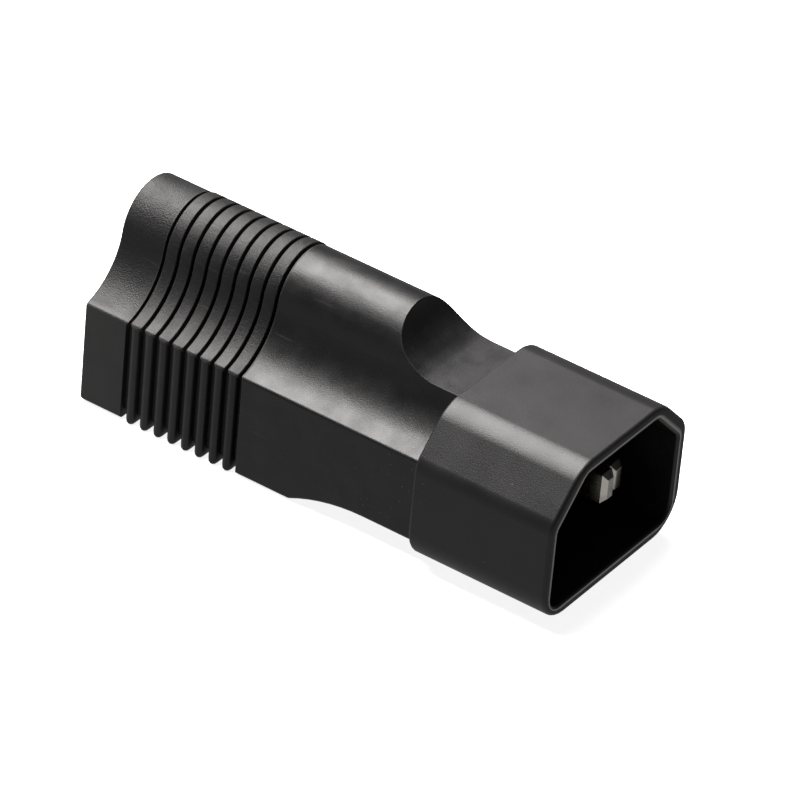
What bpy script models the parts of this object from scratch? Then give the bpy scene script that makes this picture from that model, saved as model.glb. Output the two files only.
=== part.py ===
"""Compact mains adapter: a C14 inlet at one end and a 5-15R receptacle at the other.

Units are metres. +Z is up and +X points out of the inlet. The origin is under the middle
of the adapter, on the plane of its flat underside.
"""

import math

import bmesh
import bpy
from mathutils import Vector

# Walls of the moulded body round what it holds
BODY_SIDE_WALL = 0.0018  # beside the receptacle insert
BODY_BASE_WALL = 0.0016
SHOULDER_WALL = 0.0013
DOME_WALL = 0.0014
CROWN_WALL = 0.0023  # over the top of the insert
NECK_WALL = 0.0010  # beside and under the collar of the inlet
NECK_TOP_WALL = 0.0025

# Its hollow flanks, and the thumb and finger scoops
FLANK_RADIUS = 0.0084  # sweep from the shoulder up to the dome
TOP_SCOOP_RADIUS = 0.0072
TOP_SCOOP_FLAT = 0.0031  # flat between the scoop and the inlet shroud
BOTTOM_SCOOP_RADIUS = 0.0240
BOTTOM_SCOOP_FLAT = 0.0075

# Grip grooves, cut square to the length
GROOVE_COUNT = 9
GROOVE_PITCH = 0.0020
GROOVE_WIDTH = 0.0005
GROOVE_DEPTH = 0.0008
FIRST_GROOVE = 0.0064  # receptacle face to the middle of the first groove

# Inlet shroud
SHROUD_LENGTH = 0.0190
SHROUD_WALL = 0.00165
SHROUD_CLEARANCE = 0.0005  # height of the shroud over the underside plane
SHROUD_CHAMFER = 0.0056
SHROUD_CORNER = 0.0048
SHROUD_CHAMFER_CORNER = 0.0028
CAVITY_WIDTH = 0.0245
CAVITY_HEIGHT = 0.0165
CAVITY_DEPTH = 0.0169
CAVITY_CHAMFER = 0.0051  # the two corners beside the earth pin
CAVITY_CORNER = 0.0020
CAVITY_CHAMFER_CORNER = 0.0010

# Pins of the inlet
PIN_WIDTH = 0.0020
PIN_HEIGHT = 0.0040
PIN_TIP = 0.0005
POWER_PIN_OFFSET = 0.0070  # line and neutral, either side of the middle
POWER_PIN_RECESS = 0.0043  # rim to the tips of the line and neutral pins
EARTH_PIN_RECESS = 0.0011
PIN_ROW_OFFSET = 0.0020  # earth above, line and neutral below the middle of the cavity

# Bridge that holds the pins, and the collar of the shroud around it
BRIDGE_MARGIN = 0.0012  # plastic around the group of pins
BRIDGE_CHAMFER = 0.0040
BRIDGE_FLANGE = 0.0015
COLLAR_WALL = 0.0012
COLLAR_LENGTH = 0.0055

# Slots and ground hole of the receptacle
SLOT_SPACING = 0.0127  # line slot to neutral slot
GROUND_OFFSET = 0.0119  # blade centre line to the ground hole
SLOT_WIDTH = 0.0021
LINE_SLOT_HEIGHT = 0.0069
NEUTRAL_SLOT_HEIGHT = 0.0080
GROUND_HOLE_WIDTH = 0.0056
GROUND_HOLE_FLAT = 0.0024  # ground hole centre to its flat side

# Receptacle insert round the contacts
FACE_WALL = 0.0024
INSERT_SIDE_WALL = 0.0017
INSERT_BASE_WALL = 0.0011  # under and over the blade chambers
INSERT_STEM_WALL = 0.0006  # beside the ground chamber
TAIL_ROOM = 0.0042  # behind the contacts
COVER_THICKNESS = 0.0015

# Folded strip contacts
STRIP = 0.0006
POWER_LEAF_GAP = 0.0013  # grips a blade 1.5 mm thick
GROUND_LEAF_GAP = 0.0044  # grips a round pin of 4.75 mm
POWER_CONTACT_HEIGHT = 0.0072
GROUND_CONTACT_HEIGHT = 0.0048
CHAMBER_CLEARANCE = 0.0004  # over and under a contact
LEAF_LENGTH = 0.0105
LEAD_IN = 0.0016
LEAD_FLARE = 0.0003
TAIL_WIDTH = 0.0024
BARREL_RADIUS = 0.00145
BARREL_BORE = 0.00095
BARREL_LENGTH = 0.0038
TAIL_IN_BARREL = 0.0010

# Short conductors between the contacts and the pins
WIRE_RUN = 0.0121  # contact barrel to crimp sleeve
STRAIGHT_END = 0.0008  # straight insulation at each end of the run
CORE_RADIUS = 0.00075
INSULATION_BORE = 0.0010
INSULATION_RADIUS = 0.0015
SLEEVE_RADIUS = 0.0015
SLEEVE_BORE = 0.00105
SLEEVE_LENGTH = 0.0050
PIN_TAIL_RADIUS = 0.00075
ROUTE_STEP = 0.0010

# Inner mould round the conductors
MOULD_SIDE_WALL = 0.0009
MOULD_BASE_WALL = 0.0016
MOULD_STEM_WALL = 0.0008  # beside and over the ground wire
MOULD_STEP = 0.8  # share of the wire run at which its tall rib ends

# Fits
GAP = 0.0003  # between pieces that touch
OVERCUT = 0.0010  # how far a cutter runs past the surface it opens
BLOCK_CORNER = 0.0010  # radius on the corners of the inner blocks
ARC_STEPS = 6
CORNER_STEPS = 4
ROD_SIDES = 20

# Places along the length, counted from the receptacle face and then from the middle
INSERT_DEPTH = FACE_WALL + 2 * GAP + LEAF_LENGTH + TAIL_ROOM
TERMINALS = BARREL_LENGTH + WIRE_RUN + SLEEVE_LENGTH
INLET_BODY = BRIDGE_FLANGE + GAP + COLLAR_LENGTH + SHROUD_LENGTH
LENGTH = INSERT_DEPTH + COVER_THICKNESS + TERMINALS + INLET_BODY + 3 * GAP
BACK = -LENGTH / 2
RIM = LENGTH / 2
SHROUD_BACK = RIM - SHROUD_LENGTH
CAVITY_FLOOR = RIM - CAVITY_DEPTH
COLLAR_BACK = SHROUD_BACK - COLLAR_LENGTH
FLANGE_FRONT = COLLAR_BACK - GAP
FLANGE_BACK = FLANGE_FRONT - BRIDGE_FLANGE
MOULD_FRONT = FLANGE_BACK - GAP
INSERT_BACK = BACK + INSERT_DEPTH
COVER_BACK = INSERT_BACK + GAP
COVER_FRONT = COVER_BACK + COVER_THICKNESS
MOULD_BACK = COVER_FRONT + GAP
MOUTH = BACK + FACE_WALL + 2 * GAP
WEB = MOUTH + LEAF_LENGTH
BARREL_BACK = MOULD_BACK
BARREL_FRONT = BARREL_BACK + BARREL_LENGTH
SLEEVE_FRONT = MOULD_FRONT
SLEEVE_BACK = SLEEVE_FRONT - SLEEVE_LENGTH
SPLICE = (SLEEVE_BACK + SLEEVE_FRONT) / 2  # where a core meets the tail of its pin
STEP = BARREL_FRONT + MOULD_STEP * WIRE_RUN

# Chambers and walls of the receptacle, from the contacts outwards
POWER_CHAMBER = POWER_LEAF_GAP / 2 + STRIP + LEAD_FLARE + GAP  # half widths
GROUND_CHAMBER = GROUND_LEAF_GAP / 2 + STRIP + LEAD_FLARE + GAP
POWER_CHAMBER_HEIGHT = POWER_CONTACT_HEIGHT + 2 * CHAMBER_CLEARANCE
GROUND_CHAMBER_HEIGHT = GROUND_CONTACT_HEIGHT + 2 * CHAMBER_CLEARANCE
INSERT_HALF_WIDTH = SLOT_SPACING / 2 + POWER_CHAMBER + INSERT_SIDE_WALL
INSERT_STEM = GROUND_CHAMBER + INSERT_STEM_WALL
INSERT_BOTTOM = BODY_BASE_WALL + GAP
BLADE_Z = INSERT_BOTTOM + INSERT_BASE_WALL + POWER_CHAMBER_HEIGHT / 2
INSERT_SHOULDER = BLADE_Z + POWER_CHAMBER_HEIGHT / 2 + INSERT_BASE_WALL
GROUND_HOLE_Z = BLADE_Z + GROUND_OFFSET
INSERT_TOP = GROUND_HOLE_Z + INSERT_STEM

# Pins, bridge and collar of the inlet, about the middle of its cavity
CAVITY_BOTTOM = SHROUD_CLEARANCE + SHROUD_WALL
CAVITY_TOP = CAVITY_BOTTOM + CAVITY_HEIGHT
CAVITY_MIDDLE = (CAVITY_BOTTOM + CAVITY_TOP) / 2
POWER_PIN_Z = CAVITY_MIDDLE - PIN_ROW_OFFSET
EARTH_PIN_Z = CAVITY_MIDDLE + PIN_ROW_OFFSET
BRIDGE_HALF_WIDTH = POWER_PIN_OFFSET + PIN_WIDTH / 2 + BRIDGE_MARGIN
BRIDGE_BOTTOM = POWER_PIN_Z - PIN_HEIGHT / 2 - BRIDGE_MARGIN
BRIDGE_TOP = EARTH_PIN_Z + PIN_HEIGHT / 2 + BRIDGE_MARGIN
COLLAR_GROWTH = GAP + COLLAR_WALL  # how far the collar stands out past the bridge

# Inner mould, from the wires outwards
WIRE_ROOM = INSULATION_RADIUS + GAP
MOULD_HALF_WIDTH = max(POWER_PIN_OFFSET, SLOT_SPACING / 2) + WIRE_ROOM + MOULD_SIDE_WALL
MOULD_BOTTOM = min(POWER_PIN_Z, BLADE_Z) - WIRE_ROOM - MOULD_BASE_WALL
MOULD_SHOULDER = max(POWER_PIN_Z, BLADE_Z) + WIRE_ROOM + MOULD_BASE_WALL
MOULD_STEM = WIRE_ROOM + MOULD_STEM_WALL

# Section of the body, from the insert, the mould and the collar outwards
HALF_WIDTH = max(
    INSERT_HALF_WIDTH + GAP + BODY_SIDE_WALL,
    MOULD_HALF_WIDTH + GAP + BODY_SIDE_WALL,
    BRIDGE_HALF_WIDTH + COLLAR_GROWTH + GAP + NECK_WALL,
)
SHOULDER_HEIGHT = INSERT_SHOULDER + GAP + SHOULDER_WALL
DOME_RADIUS = INSERT_STEM + GAP + DOME_WALL
BODY_HEIGHT = INSERT_TOP + GAP + CROWN_WALL
DOME_CENTRE = BODY_HEIGHT - DOME_RADIUS
NECK_TOP = BRIDGE_TOP + COLLAR_GROWTH + GAP + NECK_TOP_WALL
NECK_BOTTOM = BRIDGE_BOTTOM - COLLAR_GROWTH - GAP - NECK_WALL

# The side of the middle plane that each circuit lies on
SIDES = {"line": 1, "neutral": -1, "ground": 0}


def remove_old_objects():
    for old in list(bpy.data.objects):
        bpy.data.objects.remove(old, do_unlink=True)


def new_collection(name):
    collection = bpy.data.collections.new(name)
    bpy.context.scene.collection.children.link(collection)
    return collection


def make_material(name, colour, roughness, metallic=0.0):
    material = bpy.data.materials.new(name)
    material.use_nodes = True
    shader = material.node_tree.nodes["Principled BSDF"]
    shader.inputs["Base Color"].default_value = (*colour, 1.0)
    shader.inputs["Roughness"].default_value = roughness
    shader.inputs["Metallic"].default_value = metallic
    return material


def keep(piece, name, material):
    """Name a finished piece and give it its material and its place in the assembly."""
    piece.name = name
    piece.data.name = name
    piece.data.materials.clear()
    piece.data.materials.append(material)
    for polygon in piece.data.polygons:
        polygon.use_smooth = True
    piece.data.set_sharp_from_angle(angle=math.radians(30))
    for collection in list(piece.users_collection):
        collection.objects.unlink(piece)
    PARTS.objects.link(piece)
    piece.parent = ORIGIN
    return piece


def combine(piece, tool, operation):
    """Cut a piece with a tool, or join the tool to it; the tool stays as a hidden wire."""
    modifier = piece.modifiers.new(f"{operation.lower()} {tool.name}", "BOOLEAN")
    modifier.operation = operation
    modifier.solver = "EXACT"
    modifier.object = tool
    for collection in list(tool.users_collection):
        collection.objects.unlink(tool)
    CUTTERS.objects.link(tool)
    tool.hide_render = True
    tool.display_type = "WIRE"


def cut(piece, tool):
    combine(piece, tool, "DIFFERENCE")


def join(piece, tool):
    combine(piece, tool, "UNION")


def mesh_of_curve(curve_object):
    """Turn a curve object into a mesh object with its caps welded on."""
    bpy.context.view_layer.update()
    graph = bpy.context.evaluated_depsgraph_get()
    mesh = bpy.data.meshes.new_from_object(curve_object.evaluated_get(graph))
    welded = bmesh.new()
    welded.from_mesh(mesh)
    bmesh.ops.remove_doubles(welded, verts=welded.verts, dist=1e-6)
    welded.to_mesh(mesh)
    welded.free()
    solid = bpy.data.objects.new(curve_object.name, mesh)
    bpy.context.scene.collection.objects.link(solid)
    solid.matrix_world = curve_object.matrix_world.copy()
    bpy.data.objects.remove(curve_object, do_unlink=True)
    return solid


def new_curve(name, dimensions, loops, closed):
    curve = bpy.data.curves.new(name, "CURVE")
    curve.dimensions = dimensions
    for points in loops:
        spline = curve.splines.new("POLY")
        spline.points.add(len(points) - 1)
        for spline_point, point in zip(spline.points, points):
            spline_point.co = (*point, 1.0)
        spline.use_cyclic_u = closed
    curve_object = bpy.data.objects.new(name, curve)
    bpy.context.scene.collection.objects.link(curve_object)
    return curve_object


def prism_along_x(name, outline, low, high):
    """A solid whose (y, z) outline runs from x = low to x = high."""
    solid = new_curve(name, "2D", [[(y, z, 0.0) for y, z in outline]], closed=True)
    solid.data.fill_mode = "BOTH"
    solid.data.extrude = (high - low) / 2
    solid.rotation_euler = (math.pi / 2, 0.0, math.pi / 2)
    solid.location = ((low + high) / 2, 0.0, 0.0)
    return mesh_of_curve(solid)


def prism_along_y(name, outline, half_width):
    """A solid whose (x, z) outline runs from y = -half_width to y = half_width."""
    solid = new_curve(name, "2D", [[(x, z, 0.0) for x, z in outline]], closed=True)
    solid.data.fill_mode = "BOTH"
    solid.data.extrude = half_width
    solid.rotation_euler = (math.pi / 2, 0.0, 0.0)
    return mesh_of_curve(solid)


def box(name, low, high):
    """A box between two corners."""
    bpy.ops.mesh.primitive_cube_add(size=1.0)
    block = bpy.context.object
    block.name = name
    block.location = [(a + b) / 2 for a, b in zip(low, high)]
    block.scale = [b - a for a, b in zip(low, high)]
    bpy.ops.object.transform_apply(location=False, rotation=False, scale=True)
    return block


def cylinder_along_x(name, radius, low, high, y, z):
    bpy.ops.mesh.primitive_cylinder_add(
        radius=radius,
        depth=high - low,
        vertices=ROD_SIDES,
        location=((low + high) / 2, y, z),
        rotation=(0.0, math.pi / 2, 0.0),
    )
    rod = bpy.context.object
    rod.name = name
    return rod


def tube_solid(name, points, radius):
    """A solid round rod along a path."""
    rod = new_curve(name, "3D", [points], closed=False)
    rod.data.bevel_depth = radius
    rod.data.bevel_resolution = 4
    rod.data.use_fill_caps = True
    return mesh_of_curve(rod)


def arc(centre, radius, start, end, steps):
    """Points on an arc, both ends included; angles in radians."""
    points = []
    for step in range(steps + 1):
        angle = start + (end - start) * step / steps
        points.append((centre[0] + radius * math.cos(angle), centre[1] + radius * math.sin(angle)))
    return points


def filleted(corners):
    """A closed outline from (across, up, radius) corners, each rounded by its radius."""
    points = []
    count = len(corners)
    for index, (across, up, radius) in enumerate(corners):
        corner = Vector((across, up))
        if radius <= 0.0:
            points.append(tuple(corner))
            continue
        before = (Vector(corners[index - 1][:2]) - corner).normalized()
        after = (Vector(corners[(index + 1) % count][:2]) - corner).normalized()
        half_angle = before.angle(after) / 2
        centre = corner + (before + after).normalized() * radius / math.sin(half_angle)
        first = corner + before * radius / math.tan(half_angle) - centre
        last = corner + after * radius / math.tan(half_angle) - centre
        start = math.atan2(first.y, first.x)
        sweep = math.remainder(math.atan2(last.y, last.x) - start, 2 * math.pi)
        points += arc(centre, radius, start, start + sweep, CORNER_STEPS)
    return points


def bell(inset):
    """The body's section, moved inwards by inset: flat base, side walls, hollow flanks, dome."""
    # The flank's centre is FLANK_RADIUS from the shoulder and touches the dome's circle.
    shoulder = Vector((HALF_WIDTH, SHOULDER_HEIGHT))
    dome = Vector((0.0, DOME_CENTRE))
    apart = (dome - shoulder).length
    reach = DOME_RADIUS + FLANK_RADIUS
    along = (FLANK_RADIUS**2 - reach**2 + apart**2) / (2 * apart)
    off = math.sqrt(FLANK_RADIUS**2 - along**2)
    towards = (dome - shoulder) / apart
    centre = shoulder + towards * along + Vector((towards.y, -towards.x)) * off
    flank = FLANK_RADIUS + inset
    wall = HALF_WIDTH - inset
    start = math.pi + math.asin(math.sqrt(1 - ((centre.x - wall) / flank) ** 2))
    tangent = math.atan2(centre.y - dome.y, centre.x)
    right = [(wall, inset)]
    right += arc(centre, flank, start, math.pi + tangent, ARC_STEPS + 2)
    right += arc(dome, DOME_RADIUS - inset, tangent, math.pi / 2, ARC_STEPS)[1:]
    left = [(-y, z) for y, z in reversed(right[:-1])]
    return right + left


def inlet_shape(half_width, low, high, chamfer, corner, chamfer_corner):
    """The section of a C14 inlet: a rectangle with its two upper corners cut at 45 degrees."""
    right = [
        (half_width, low, corner),
        (half_width, high - chamfer, chamfer_corner),
        (half_width - chamfer, high, chamfer_corner),
    ]
    left = [(-y, z, radius) for y, z, radius in reversed(right)]
    return filleted(right + left)


def tower_shape(half_width, low, shoulder, stem, top, corner, stem_corner):
    """A wide block with a narrower tower standing on its middle."""
    right = [
        (half_width, low, corner),
        (half_width, shoulder, corner),
        (stem, shoulder, 0.0),
        (stem, top, stem_corner),
    ]
    left = [(-y, z, radius) for y, z, radius in reversed(right)]
    return filleted(right + left)


def insert_shape(grow):
    return tower_shape(
        INSERT_HALF_WIDTH + grow,
        INSERT_BOTTOM - grow,
        INSERT_SHOULDER + grow,
        INSERT_STEM + grow,
        INSERT_TOP + grow,
        corner=BLOCK_CORNER + grow,
        stem_corner=INSERT_STEM - BLOCK_CORNER / 4 + grow,
    )


def mould_shape(top, grow):
    return tower_shape(
        MOULD_HALF_WIDTH + grow,
        MOULD_BOTTOM - grow,
        MOULD_SHOULDER + grow,
        MOULD_STEM + grow,
        top + grow,
        corner=BLOCK_CORNER + grow,
        stem_corner=BLOCK_CORNER + grow,
    )


def tall_top():
    """Top of the mould's rib where the ground wire leaves its contact."""
    return GROUND_HOLE_Z + WIRE_ROOM + MOULD_STEM_WALL


def low_top():
    """Top of the mould past its step, clear of the ground wire there."""
    return on_route("ground", STEP - ROUTE_STEP)[2] + WIRE_ROOM + MOULD_STEM_WALL


def bridge_shape(grow):
    """The block around the three pins, grown for the window, the collar and the pocket."""
    return inlet_shape(
        BRIDGE_HALF_WIDTH + grow,
        BRIDGE_BOTTOM - grow,
        BRIDGE_TOP + grow,
        BRIDGE_CHAMFER + grow * (2 - math.sqrt(2)),
        corner=BLOCK_CORNER / 2 + grow,
        chamfer_corner=0.0,
    )


def circuit_places(circuit):
    """Where a circuit's contact and pin lie: (y, z) of each."""
    side = SIDES[circuit]
    if side:
        return (side * SLOT_SPACING / 2, BLADE_Z), (side * POWER_PIN_OFFSET, POWER_PIN_Z)
    return (0.0, GROUND_HOLE_Z), (0.0, EARTH_PIN_Z)


def on_route(circuit, x):
    """Where the conductor's middle is at x: straight at its ends and eased between them."""
    contact, pin = (Vector(place) for place in circuit_places(circuit))
    start = BARREL_FRONT + STRAIGHT_END
    way = min(1.0, max(0.0, (x - start) / (WIRE_RUN - 2 * STRAIGHT_END)))
    y, z = contact.lerp(pin, way * way * (3 - 2 * way))
    return x, y, z


def route(circuit, low, high):
    """The conductor's path between x = low and x = high."""
    steps = max(1, round((high - low) / ROUTE_STEP))
    return [on_route(circuit, low + (high - low) * step / steps) for step in range(steps + 1)]


def cut_scoops(body):
    """Thumb scoop in the dome and shallow finger scoop underneath, both run to the shroud."""
    end = SHROUD_BACK + OVERCUT
    axis = (SHROUD_BACK - TOP_SCOOP_FLAT, NECK_TOP + TOP_SCOOP_RADIUS)
    above = max(BODY_HEIGHT, axis[1]) + OVERCUT
    scoop = [(axis[0] - TOP_SCOOP_RADIUS, above)]
    scoop += arc(axis, TOP_SCOOP_RADIUS, math.pi, 1.5 * math.pi, 2 * ARC_STEPS)
    scoop += [(end, NECK_TOP), (end, above)]
    cut(body, prism_along_y("top_scoop", scoop, 2 * HALF_WIDTH))
    axis = (SHROUD_BACK - BOTTOM_SCOOP_FLAT, NECK_BOTTOM - BOTTOM_SCOOP_RADIUS)
    start = math.pi - math.asin((-OVERCUT - axis[1]) / BOTTOM_SCOOP_RADIUS)
    scoop = arc(axis, BOTTOM_SCOOP_RADIUS, start, math.pi / 2, 2 * ARC_STEPS)
    scoop += [(end, NECK_BOTTOM), (end, -OVERCUT)]
    cut(body, prism_along_y("bottom_scoop", scoop, 2 * HALF_WIDTH))


def cut_grooves(body):
    """Grooves of one depth all the way round the section."""
    for index in range(GROOVE_COUNT):
        middle = BACK + FIRST_GROOVE + index * GROOVE_PITCH
        low = middle - GROOVE_WIDTH / 2
        high = middle + GROOVE_WIDTH / 2
        corner = (high, 2 * HALF_WIDTH, BODY_HEIGHT + OVERCUT)
        ring = box(f"groove_{index}", (low, -2 * HALF_WIDTH, -OVERCUT), corner)
        core = bell(GROOVE_DEPTH)
        cut(ring, prism_along_x(f"groove_core_{index}", core, low - OVERCUT, high + OVERCUT))
        cut(body, ring)


def make_overmould():
    """Ribbed outer body, open at both ends, that grips the insert, the mould and the inlet."""
    body = prism_along_x("overmould", bell(0.0), BACK, SHROUD_BACK - GAP)
    cut_scoops(body)
    cut_grooves(body)
    pockets = [
        ("insert_pocket", insert_shape(GAP), BACK - OVERCUT, MOULD_BACK),
        ("mould_pocket", mould_shape(tall_top(), GAP), MOULD_BACK - OVERCUT, STEP + GAP),
        ("low_mould_pocket", mould_shape(low_top(), GAP), STEP - GAP, MOULD_FRONT + GAP),
        ("collar_pocket", bridge_shape(COLLAR_GROWTH + GAP), MOULD_FRONT, SHROUD_BACK + OVERCUT),
    ]
    for name, shape, low, high in pockets:
        cut(body, prism_along_x(name, shape, low, high))
    return keep(body, "overmould_body", BODY_PVC)


def make_shroud():
    """Shroud of the inlet with its rear wall and the collar that the overmould grips."""
    shroud = prism_along_x(
        "shroud",
        inlet_shape(
            CAVITY_WIDTH / 2 + SHROUD_WALL,
            SHROUD_CLEARANCE,
            CAVITY_TOP + SHROUD_WALL,
            SHROUD_CHAMFER,
            SHROUD_CORNER,
            SHROUD_CHAMFER_CORNER,
        ),
        SHROUD_BACK,
        RIM,
    )
    collar = bridge_shape(COLLAR_GROWTH)
    join(shroud, prism_along_x("collar", collar, COLLAR_BACK, CAVITY_FLOOR - GAP))
    cavity = inlet_shape(
        CAVITY_WIDTH / 2,
        CAVITY_BOTTOM,
        CAVITY_TOP,
        CAVITY_CHAMFER,
        CAVITY_CORNER,
        CAVITY_CHAMFER_CORNER,
    )
    cut(shroud, prism_along_x("cavity", cavity, CAVITY_FLOOR, RIM + OVERCUT))
    window = bridge_shape(GAP)
    cut(shroud, prism_along_x("window", window, COLLAR_BACK - OVERCUT, CAVITY_FLOOR + OVERCUT))
    return keep(shroud, "inlet_shroud", SHROUD_NYLON)


def pin_section(y, z, grow):
    """Half sizes of a pin's section about its place, grown for the slot around it."""
    half_width = PIN_WIDTH / 2 + grow
    half_height = PIN_HEIGHT / 2 + grow
    return (y - half_width, z - half_height), (y + half_width, z + half_height)


def make_bridge():
    """Block that carries the three pins, with a flange behind the collar of the shroud."""
    bridge = prism_along_x("bridge", bridge_shape(0.0), FLANGE_BACK, CAVITY_FLOOR)
    join(bridge, prism_along_x("flange", bridge_shape(COLLAR_GROWTH), FLANGE_BACK, FLANGE_FRONT))
    for circuit in SIDES:
        y, z = circuit_places(circuit)[1]
        low, high = pin_section(y, z, GAP)
        far = (CAVITY_FLOOR + OVERCUT, *high)
        cut(bridge, box(f"{circuit}_pin_slot", (FLANGE_BACK - OVERCUT, *low), far))
    return keep(bridge, "pin_bridge", BRIDGE_PBT)


def make_pin(circuit, name, recess):
    """Flat pin with a chamfered tip and a round tail for the crimp sleeve."""
    y, z = circuit_places(circuit)[1]
    low, high = pin_section(y, z, 0.0)
    tip = RIM - recess
    pin = box(name, (FLANGE_BACK, *low), (tip, *high))
    shape = bmesh.new()
    shape.from_mesh(pin.data)
    front = max(vertex.co.x for vertex in shape.verts)
    edges = [edge for edge in shape.edges if all(front - v.co.x < GAP for v in edge.verts)]
    bmesh.ops.bevel(
        shape, geom=edges, offset=PIN_TIP, segments=2, profile=0.5, affect="EDGES", material=-1
    )
    shape.to_mesh(pin.data)
    shape.free()
    tail_front = FLANGE_BACK + OVERCUT
    join(pin, cylinder_along_x(f"{name}_tail", PIN_TAIL_RADIUS, SPLICE + GAP / 2, tail_front, y, z))
    return keep(pin, name, PIN_NICKEL)


def cut_chamber(insert, circuit, half_width, height):
    """Room for a contact, open to the back of the insert."""
    y, z = circuit_places(circuit)[0]
    low = (BACK + FACE_WALL, y - half_width, z - height / 2)
    high = (INSERT_BACK + OVERCUT, y + half_width, z + height / 2)
    cut(insert, box(f"{circuit}_chamber", low, high))


def cut_slot(insert, circuit, height):
    """Blade slot through the face wall."""
    y, z = circuit_places(circuit)[0]
    low = (BACK - OVERCUT, y - SLOT_WIDTH / 2, z - height / 2)
    high = (BACK + FACE_WALL + OVERCUT, y + SLOT_WIDTH / 2, z + height / 2)
    cut(insert, box(f"{circuit}_slot", low, high))


def make_insert():
    """Receptacle block with three chambers from behind, two blade slots and the ground hole."""
    insert = prism_along_x("insert", insert_shape(0.0), BACK, INSERT_BACK)
    cut_chamber(insert, "line", POWER_CHAMBER, POWER_CHAMBER_HEIGHT)
    cut_chamber(insert, "neutral", POWER_CHAMBER, POWER_CHAMBER_HEIGHT)
    cut_chamber(insert, "ground", GROUND_CHAMBER, GROUND_CHAMBER_HEIGHT)
    cut_slot(insert, "line", LINE_SLOT_HEIGHT)
    cut_slot(insert, "neutral", NEUTRAL_SLOT_HEIGHT)
    radius = GROUND_HOLE_WIDTH / 2
    flat = GROUND_HOLE_Z - GROUND_HOLE_FLAT
    hole = arc((0.0, GROUND_HOLE_Z), radius, 0.0, math.pi, 3 * ARC_STEPS)
    hole += [(-radius, flat), (radius, flat)]
    cut(insert, prism_along_x("ground_hole", hole, BACK - OVERCUT, BACK + FACE_WALL + OVERCUT))
    return keep(insert, "receptacle_insert", INSERT_PBT)


def tail_box(name, circuit, low_x, high_x, grow):
    y, z = circuit_places(circuit)[0]
    low = (low_x, y - STRIP / 2 - grow, z - TAIL_WIDTH / 2 - grow)
    high = (high_x, y + STRIP / 2 + grow, z + TAIL_WIDTH / 2 + grow)
    return box(name, low, high)


def make_cover():
    """Plate that shuts the chambers of the insert and lets the three contact tails out."""
    cover = prism_along_x("cover", insert_shape(0.0), COVER_BACK, COVER_FRONT)
    for circuit in SIDES:
        far = COVER_FRONT + OVERCUT
        cut(cover, tail_box(f"{circuit}_exit", circuit, COVER_BACK - OVERCUT, far, GAP))
    return keep(cover, "receptacle_back_cover", INSERT_PBT)


def make_contact(circuit, leaf_gap, height):
    """Folded strip: two sprung leaves with a flared mouth, a web, a tail and a crimp barrel."""
    y, z = circuit_places(circuit)[0]
    half = (leaf_gap + STRIP) / 2
    leaf = [
        (MOUTH, half + LEAD_FLARE),
        (MOUTH + LEAD_IN, half),
        (WEB - STRIP, half),
        (WEB, half - STRIP / 2),
    ]
    points = [(x, across, 0.0) for x, across in leaf]
    points += [(x, -across, 0.0) for x, across in reversed(leaf)]
    strip = new_curve(f"{circuit}_strip", "2D", [points], closed=False)
    strip.data.extrude = height / 2
    strip.location = (0.0, y, z)
    contact = mesh_of_curve(strip)
    solidify = contact.modifiers.new("strip thickness", "SOLIDIFY")
    solidify.thickness = STRIP
    solidify.offset = 0.0
    solidify.use_even_offset = True
    tail_end = BARREL_BACK + TAIL_IN_BARREL
    join(contact, tail_box(f"{circuit}_tail", circuit, WEB, tail_end, 0.0))
    barrel = cylinder_along_x(f"{circuit}_barrel", BARREL_RADIUS, BARREL_BACK, BARREL_FRONT, y, z)
    join(contact, barrel)
    far = BARREL_FRONT + OVERCUT
    cut(contact, cylinder_along_x(f"{circuit}_bore", BARREL_BORE, tail_end, far, y, z))
    return keep(contact, f"{circuit}_contact", CONTACT_BRASS)


def make_conductor(circuit):
    """Bare core, its insulation, and the sleeve that crimps it to the tail of the pin."""
    y, z = circuit_places(circuit)[1]
    core_path = route(circuit, BARREL_BACK + TAIL_IN_BARREL + GAP, SPLICE - GAP / 2)
    keep(tube_solid("core", core_path, CORE_RADIUS), f"{circuit}_wire_core", COPPER)
    low = BARREL_FRONT + GAP
    high = SLEEVE_BACK - GAP
    jacket = tube_solid("jacket", route(circuit, low, high), INSULATION_RADIUS)
    bore = route(circuit, low - OVERCUT, high + OVERCUT)
    cut(jacket, tube_solid(f"{circuit}_jacket_bore", bore, INSULATION_BORE))
    keep(jacket, f"{circuit}_wire_insulation", WIRE_COLOURS[circuit])
    sleeve = cylinder_along_x("sleeve", SLEEVE_RADIUS, SLEEVE_BACK, SLEEVE_FRONT - GAP, y, z)
    low = SLEEVE_BACK - OVERCUT
    high = SLEEVE_FRONT + OVERCUT
    cut(sleeve, cylinder_along_x(f"{circuit}_sleeve_bore", SLEEVE_BORE, low, high, y, z))
    keep(sleeve, f"{circuit}_crimp_sleeve", SLEEVE_TIN)


def make_inner_mould():
    """Block cast round the three conductors, with a tall rib where the ground wire runs."""
    mould = prism_along_x("mould", mould_shape(tall_top(), 0.0), MOULD_BACK, STEP)
    low_end = mould_shape(low_top(), 0.0)
    join(mould, prism_along_x("low_mould", low_end, STEP - OVERCUT, MOULD_FRONT))
    for circuit in SIDES:
        path = route(circuit, MOULD_BACK - OVERCUT, MOULD_FRONT + OVERCUT)
        cut(mould, tube_solid(f"{circuit}_channel", path, WIRE_ROOM))
    return keep(mould, "inner_mould", MOULD_PE)


remove_old_objects()
PARTS = new_collection("mains_adapter")
CUTTERS = new_collection("cutters")
ORIGIN = bpy.data.objects.new("adapter_origin", None)
PARTS.objects.link(ORIGIN)

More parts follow.
